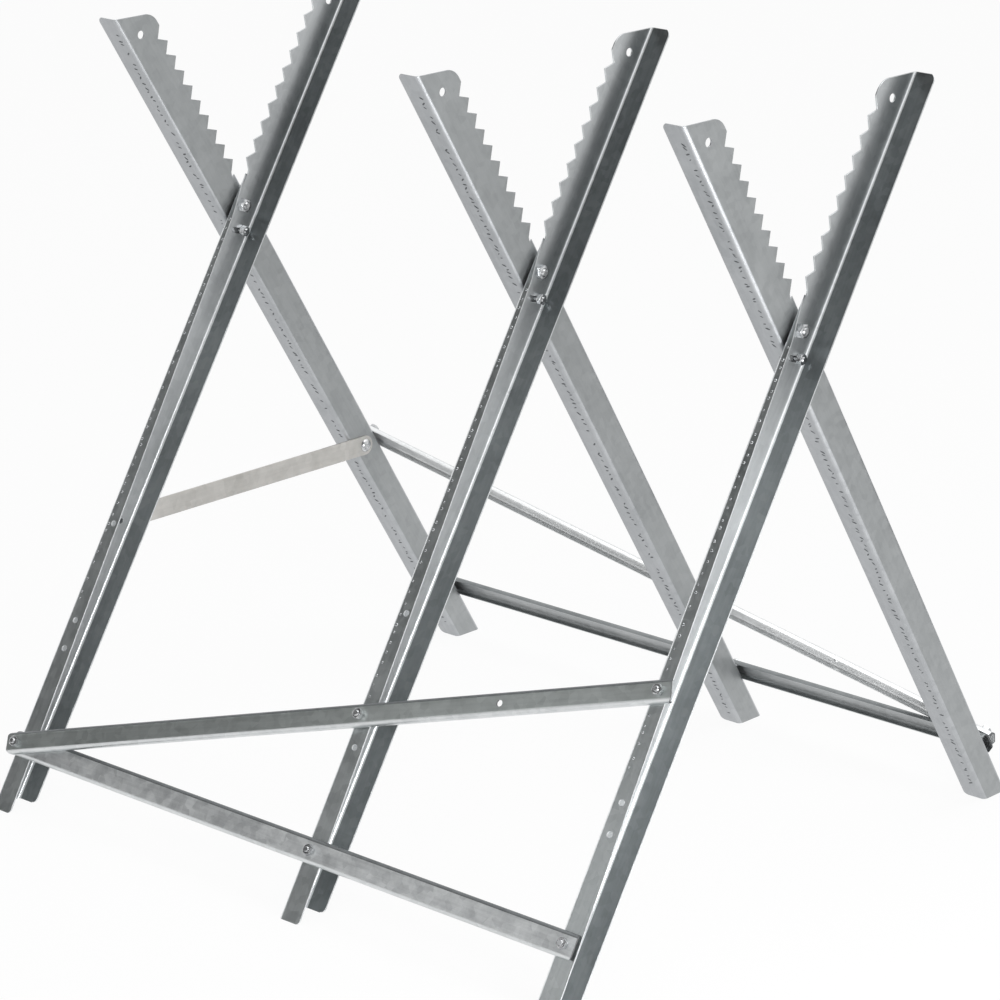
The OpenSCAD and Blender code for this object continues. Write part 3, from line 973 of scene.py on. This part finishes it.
@dataclass
class Fasteners:
    """All bolts, nuts, washers, spacers and the peg, placed where the CAD solids are, in millimetres."""

    segments: int = 48
    chamfer: float = math.tan(math.radians(30.0))
    nut_crown: float = 0.97
    head_crown: float = 0.95
    head_seat: float = 0.96
    thread_steps: int = 4
    thread_depth: float = 0.54
    point_depths: float = 1.6
    hole_play: float = 0.05
    edge: float = 0.25
    spacer_t: float = 2.8
    shank_length: float = 1000.0
    cup_head: tuple[Point2, ...] = ((7.5, 0.0), (7.35, 0.5), (6.6, 1.4), (5.0, 2.5), (2.7, 3.25), (0.0, 3.5))
    cup_point: tuple[Point2, ...] = ((0.0, 0.0), (2.4, 0.0), (3.0, 0.7))
    peg_flange: tuple[Point2, ...] = ((0.0, 0.0), (5.2, 0.0), (5.5, 0.3), (5.5, 1.7), (5.2, 2.0), (3.0, 2.0))
    peg_ease: float = 0.3
    stock: PlacedStock = field(default_factory=PlacedStock)
    bolts: PlacedBolts = field(default_factory=PlacedBolts)
    finish: bpy.types.Material = field(init=False)
    shapes: list[Piece] = field(default_factory=list)

    def hexagon(self, flats: float) -> Callable[[float], float]:
        """Gives the radius of a hexagon at an angle."""
        sector = math.radians(60.0)
        return lambda angle: flats / 2 / math.cos((angle % sector) - sector / 2)

    def shape(self, name: str, profile: Profile, closed: bool = False) -> Piece:
        """Turns a profile in millimetres into an object that the trees can place."""
        mesh = TOOLS.turned(name, lambda angle: [(r * MM, z * MM) for r, z in profile(angle)], self.segments, closed)
        shape = TOOLS.link(name, mesh)
        self.shapes.append(shape)
        return shape

    def nut(self, size: BoltSize) -> Piece:
        """Makes a hexagon nut, chamfered on both faces, standing on Z.

        Args:
            size: The thread size.

        Returns:
            The nut.
        """
        corner = self.hexagon(size.flats)
        crown = size.flats / 2 * self.nut_crown
        bore = size.diameter / 2 + self.hole_play
        ease = 2 * self.edge

        def profile(angle: float) -> list[Point2]:
            """Section from the bore's foot, round the outside, back to the bore."""
            drop = (corner(angle) - crown) * self.chamfer
            return [(bore + ease, 0.0), (crown, 0.0), (corner(angle), drop), (corner(angle), size.nut - drop),
                    (crown, size.nut), (bore + ease, size.nut), (bore, size.nut - ease), (bore, ease)]

        return self.shape("nut", profile, closed=True)

    def head(self, size: BoltSize) -> Piece:
        """Makes a hexagon head below its seat at the origin.

        Args:
            size: The thread size.

        Returns:
            The head.
        """
        corner = self.hexagon(size.flats)
        crown = size.flats / 2 * self.head_crown

        def profile(angle: float) -> list[Point2]:
            """Section from the top of the head to the seat."""
            drop = (corner(angle) - crown) * self.chamfer
            return [(0.0, -size.head), (crown, -size.head), (corner(angle), drop - size.head),
                    (corner(angle), -2 * self.edge), (size.flats / 2 * self.head_seat, 0.0), (0.0, 0.0)]

        return self.shape("head", profile)

    def shank(self, size: BoltSize) -> Piece:
        """Makes a plain shank one metre long, to be scaled along Z."""
        radius, length = size.diameter / 2, self.shank_length
        return self.shape("shank", lambda angle: [(0.0, 0.0), (radius, 0.0), (radius, length), (0.0, length)])

    def tip(self, size: BoltSize) -> Piece:
        """Makes the threaded end of a bolt, with a helical thread and a chamfered point.

        Args:
            size: The thread size.

        Returns:
            The tip, from the origin up.
        """
        depth = self.thread_depth * size.pitch
        rows = int(size.tip / size.pitch * self.thread_steps)

        def profile(angle: float) -> list[Point2]:
            """Section along the thread, shifted by the helix."""
            points = [(0.0, 0.0)]
            for row in range(rows + 1):
                height = size.tip * row / rows
                wave = abs(2.0 * ((height / size.pitch - angle / math.tau) % 1.0) - 1.0)
                limit = size.diameter / 2 - max(0.0, height - (size.tip - depth * self.point_depths))
                points.append((min(size.diameter / 2 - depth * wave, limit), height))
            return points + [(0.0, size.tip)]

        return self.shape("tip", profile)

    def ring(self, size: BoltSize, thick: float) -> Piece:
        """Makes a washer or spacer with eased edges, from the origin up.

        Args:
            size: The thread size.
            thick: Its thickness.

        Returns:
            The ring.
        """
        outer, bore, ease = size.washer / 2, size.diameter / 2 + self.hole_play, self.edge
        section = [(bore, ease), (bore + ease, 0.0), (outer - ease, 0.0), (outer, ease), (outer, thick - ease),
                   (outer - ease, thick), (bore + ease, thick), (bore, thick - ease)]
        return self.shape("ring", lambda angle: section, closed=True)

    def seats(self, node: str, axis: Vector) -> tuple[list[Vector], list[float]]:
        """Finds each solid of a node: the middle of its lower end along an axis, and its length.

        Args:
            node: The CAD node.
            axis: The direction in which the solids point.

        Returns:
            The lower ends and the lengths, in metres.
        """
        starts, lengths = [], []
        for points in TOOLS.island_points(node):
            heights = [point.dot(axis) for point in points]
            flat = [point - axis * height for point, height in zip(points, heights)]
            low, high = (Vector(tuple(pick(point[i] for point in flat) for i in range(3))) for pick in (min, max))
            middle = (low + high) / 2
            middle -= axis * middle.dot(axis)
            starts.append(middle + axis * min(heights))
            lengths.append(max(heights) - min(heights))
        order = sorted(range(len(starts)), key=lambda i: tuple(round(value, 4) for value in starts[i]))
        return [starts[i] for i in order], [lengths[i] for i in order]

    def grown(self, node: str, mesh: bpy.types.Mesh, tree: GrowingTree, axis: Vector, body: str,
              values: dict[str, object]) -> Piece:
        """Args:
            node: The CAD node that they stand for.
            mesh: A point for each seat.
            tree: The tree that builds them.
            axis: The direction of their Z axis.
            body: The body that they ride on.
            values: The tree's further inputs.

        Returns:
            The piece.
        """
        piece = TOOLS.link(f"{node}_set", mesh)
        tree.grow(piece, {"Turn": tuple(axis.to_track_quat("Z", "Y").to_euler()), "Seed": len(node),
                          "Finish": self.finish, **values})
        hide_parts(node)
        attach(piece, body)
        return piece

    def place(self, node: str, stamp: Piece, axis: Vector, body: str) -> Piece:
        """Places one shape on every solid of a node.

        Args:
            node: The CAD node that it stands for.
            stamp: The shape, standing on Z.
            axis: The direction of its Z axis.
            body: The body that it rides on.

        Returns:
            The piece.
        """
        starts, _ = self.seats(node, axis)
        mesh = bpy.data.meshes.new("seats")
        mesh.from_pydata(starts, [], [])
        return self.grown(node, mesh, self.stock, axis, body, {"Stamp": stamp})

    def place_bolts(self, node: str, size: BoltSize, axis: Vector, body: str) -> Piece:
        """Builds every bolt of a node with its own shank length.

        Args:
            node: The CAD node that it stands for.
            size: The thread size.
            axis: The direction from head to tip.
            body: The body that it rides on.

        Returns:
            The piece.
        """
        starts, lengths = self.seats(node, axis)
        head = size.head * MM
        mesh = bpy.data.meshes.new("seats")
        mesh.from_pydata([start + axis * head for start in starts], [], [])
        shank = mesh.attributes.new("shank", "FLOAT", "POINT")
        shank.data.foreach_set("value", [length - head for length in lengths])
        return self.grown(node, mesh, self.bolts, axis, body, {
            "Axis": tuple(axis), "Tip Length": size.tip * MM, "Head": self.head(size), "Shank": self.shank(size),
            "Tip": self.tip(size)})

    def bolted(self, name: str, size: BoltSize, axis: Vector, body: str) -> list[Piece]:
        """Makes a set of bolts with their nuts and washers.

        Args:
            name: The start of their CAD nodes' names.
            size: The thread size.
            axis: The direction from head to tip.
            body: The body that they ride on.

        Returns:
            The pieces.
        """
        return [self.place_bolts(f"{name}_bolts", size, axis, body),
                self.place(f"{name}_nuts", self.nut(size), axis, body),
                self.place(f"{name}_washers", self.ring(size, size.washer_t), axis, body)]

    def build(self) -> list[Piece]:
        """Makes every fastener.

        Returns:
            The pieces.
        """
        self.finish = PlatedSteel("bright zinc plate", (0.36, 0.37, 0.38), (0.70, 0.71, 0.72)).material()
        along = Vector((1.0, 0.0, 0.0))
        lean = math.radians(SIZES.flange_lean)
        pieces = self.bolted("pivot", PIVOT_SIZE, along, "front frame")
        pieces.append(self.place("pivot_spacers", self.ring(PIVOT_SIZE, self.spacer_t), along, "front frame"))
        pieces += self.bolted("stop", SMALL_SIZE, along, "stop bolts")
        for side in Side:
            out = Vector((0.0, -side.value * math.sin(lean), math.cos(lean)))
            pieces += self.bolted(side.node("bar"), SMALL_SIZE, out, side.body)
        pieces += self.stay_fasteners(along)
        for shape in self.shapes:
            bpy.data.objects.remove(shape)
        return pieces

    def stay_fasteners(self, along: Vector) -> list[Piece]:
        """Makes the strap's round headed bolt with its nut and washer, and the peg.

        Args:
            along: The direction of the bolt, from nut to head.

        Returns:
            The pieces.
        """
        (_, (bolt_length,)), (_, (peg_length,)) = (self.seats(node, along) for node in ("stay_bolt", "stay_peg"))
        shank = bolt_length / MM - self.cup_head[-1][1]
        bolt = [*self.cup_point, (self.cup_point[-1][0], shank)]
        bolt += [(radius, shank + height) for radius, height in self.cup_head]
        stem, end = self.peg_flange[-1][0], peg_length / MM
        peg = [*self.peg_flange, (stem, end - self.peg_ease), (stem - self.peg_ease, end), (0.0, end)]
        return [
            self.place("stay_bolt", self.shape("cup bolt", lambda angle: bolt), along, "rear frame"),
            self.place("stay_nut", self.nut(SMALL_SIZE), along, "rear frame"),
            self.place("stay_washer", self.ring(SMALL_SIZE, SMALL_SIZE.washer_t), along, "rear frame"),
            self.place("stay_peg", self.shape("peg", lambda angle: peg), along, "front frame"),
        ]


@dataclass(frozen=True)
class Cloth:
    """A grey cloth that only the metal mirrors: it hangs some way off a point, in a direction, and faces back."""

    name: str
    point: Point3
    direction: Point3
    away: float
    size: Point2
    shade: float


@dataclass(frozen=True)
class Lamp:
    """A soft square lamp with its place, aim, side in metres and power in watts."""

    name: str
    place: Point3
    aim: Point3
    size: float
    power: float
    mirrored: bool = True


MIDDLE: Point3 = (0.0, 0.0, 0.4)
CLOTHS = (
    Cloth("front cloth", (0.0, -0.1, 0.8), (-0.30, -0.82, 0.48), away=3.0, size=(6.4, 4.2), shade=0.20),
    Cloth("right cloth", (-0.28, -0.35, 0.5), (0.66, -0.52, 0.50), away=2.4, size=(1.7, 2.4), shade=0.40),
    Cloth("back cloth", (0.69, 2.6, 0.02), (0.0, 0.0, -1.0), away=0.0, size=(1.98, 2.8), shade=0.10),
)
LAMPS = (
    Lamp("side lamp", (1.25, -0.4, 0.3), MIDDLE, size=0.5, power=9.0),
    Lamp("rail lamp", (-0.15, -0.95, 0.5), (0.38, -0.38, 0.06), size=0.35, power=0.4),
    Lamp("key lamp", (1.95, -1.75, 2.05), MIDDLE, size=0.9, power=10.0, mirrored=False),
    Lamp("top lamp", (0.6, 0.6, 3.2), MIDDLE, size=2.2, power=30.0),
)


@dataclass
class Studio:
    """Pale floor, white surroundings, grey cloths, soft lamps and the camera."""

    camera_at: Point3 = (2.6148, -2.8633, 1.5599)
    yaw: float = 42.431
    pitch: float = -17.62
    focal_pixels: float = 3974.5
    picture: float = 1000.0
    sensor: float = 36.0
    sight: float = 200.0
    soft_light: float = 0.55
    floor_size: float = 60.0
    floor_grey: float = 0.86
    floor_rough: float = 0.9
    floor_white: float = 0.93

    def shown_rays(self, sheet: NodeSheet) -> Socket:
        """Adds a test that is 1 for rays from the camera and through gloss or glass, and returns it."""
        path = sheet.node("ShaderNodeLightPath")
        total = path.outputs["Is Camera Ray"]
        for name in ("Is Glossy Ray", "Is Transmission Ray"):
            total = sheet.math("MAXIMUM", total, path.outputs[name])
        return total

    def build_world(self) -> None:
        """Sets white surroundings that light the stand softly."""
        world = bpy.data.worlds.new("studio")
        bpy.context.scene.world = world
        world.use_nodes = True
        sheet = NodeSheet(world.node_tree)
        strength = sheet.node("ShaderNodeMapRange", {
            "Value": self.shown_rays(sheet), "To Min": self.soft_light, "To Max": 1.0}).outputs["Result"]
        background = sheet.tree.nodes["Background"]
        background.inputs["Color"].default_value = (*WHITE, 1.0)
        sheet.feed(background.inputs["Strength"], strength)

    def build_floor(self) -> None:
        """Makes the floor, white to the camera apart from the stand's soft shadow."""
        bpy.ops.mesh.primitive_plane_add(size=self.floor_size)
        floor = bpy.context.object
        floor.name = "floor"
        sheet = ShaderSheet("pale floor")
        floor.data.materials.append(sheet.matt(self.floor_grey, self.floor_rough))
        glow = sheet.node("ShaderNodeEmission", {"Color": (*WHITE, 1.0)})
        mix = sheet.node("ShaderNodeMixShader", {
            "Fac": sheet.math("MULTIPLY", self.shown_rays(sheet), self.floor_white),
            1: sheet.surface.outputs["BSDF"], 2: glow.outputs["Emission"]})
        sheet.feed(sheet.tree.nodes["Material Output"].inputs["Surface"], mix.outputs["Shader"])

    def build_cloth(self, cloth: Cloth) -> None:
        """Hangs a cloth that darkens what the metal mirrors."""
        toward = Vector(cloth.direction).normalized()
        bpy.ops.mesh.primitive_plane_add(size=1.0)
        flag = bpy.context.object
        flag.name = cloth.name
        flag.scale = (*cloth.size, 1.0)
        flag.location = Vector(cloth.point) + toward * cloth.away
        flag.rotation_euler = (-toward).to_track_quat("Z", "Y").to_euler()
        flag.data.materials.append(ShaderSheet(cloth.name).matt(cloth.shade, 1.0))
        flag.visible_camera = False
        flag.visible_shadow = False
        flag.visible_diffuse = False

    def build_lamp(self, lamp: Lamp) -> None:
        """Adds a lamp that the camera doesn't see."""
        data = bpy.data.lights.new(lamp.name, "AREA")
        data.size = lamp.size
        data.energy = lamp.power
        light = bpy.data.objects.new(lamp.name, data)
        bpy.context.scene.collection.objects.link(light)
        light.location = lamp.place
        light.visible_camera = False
        light.visible_glossy = lamp.mirrored
        toward = Vector(lamp.aim) - Vector(lamp.place)
        light.rotation_euler = toward.to_track_quat("-Z", "Y").to_euler()

    def build_camera(self) -> None:
        """Stands the camera where the photograph was taken from."""
        data = bpy.data.cameras.new("camera")
        data.sensor_width = self.sensor
        data.lens = self.focal_pixels / self.picture * self.sensor
        data.clip_end = self.sight
        camera = bpy.data.objects.new("camera", data)
        bpy.context.scene.collection.objects.link(camera)
        camera.location = self.camera_at
        camera.rotation_euler = (math.radians(90.0 + self.pitch), 0.0, math.radians(self.yaw))
        bpy.context.scene.camera = camera

    def build(self) -> None:
        """Sets up the whole studio."""
        bpy.context.scene.view_settings.view_transform = "Standard"
        self.build_world()
        self.build_floor()
        for cloth in CLOTHS:
            self.build_cloth(cloth)
        for lamp in LAMPS:
            self.build_lamp(lamp)
        self.build_camera()


def main() -> None:
    """Builds the stand and the studio, and reports each piece."""
    logging.basicConfig(level=logging.INFO, format="%(name)s: %(message)s")
    Studio().build()
    pieces = StandSheet().build() + BendMarks().build() + Fasteners().build()
    for piece in pieces:
        LOG.info("%s: %d faces", piece.name, len(piece.data.polygons))


if __name__ == "__main__":
    main()
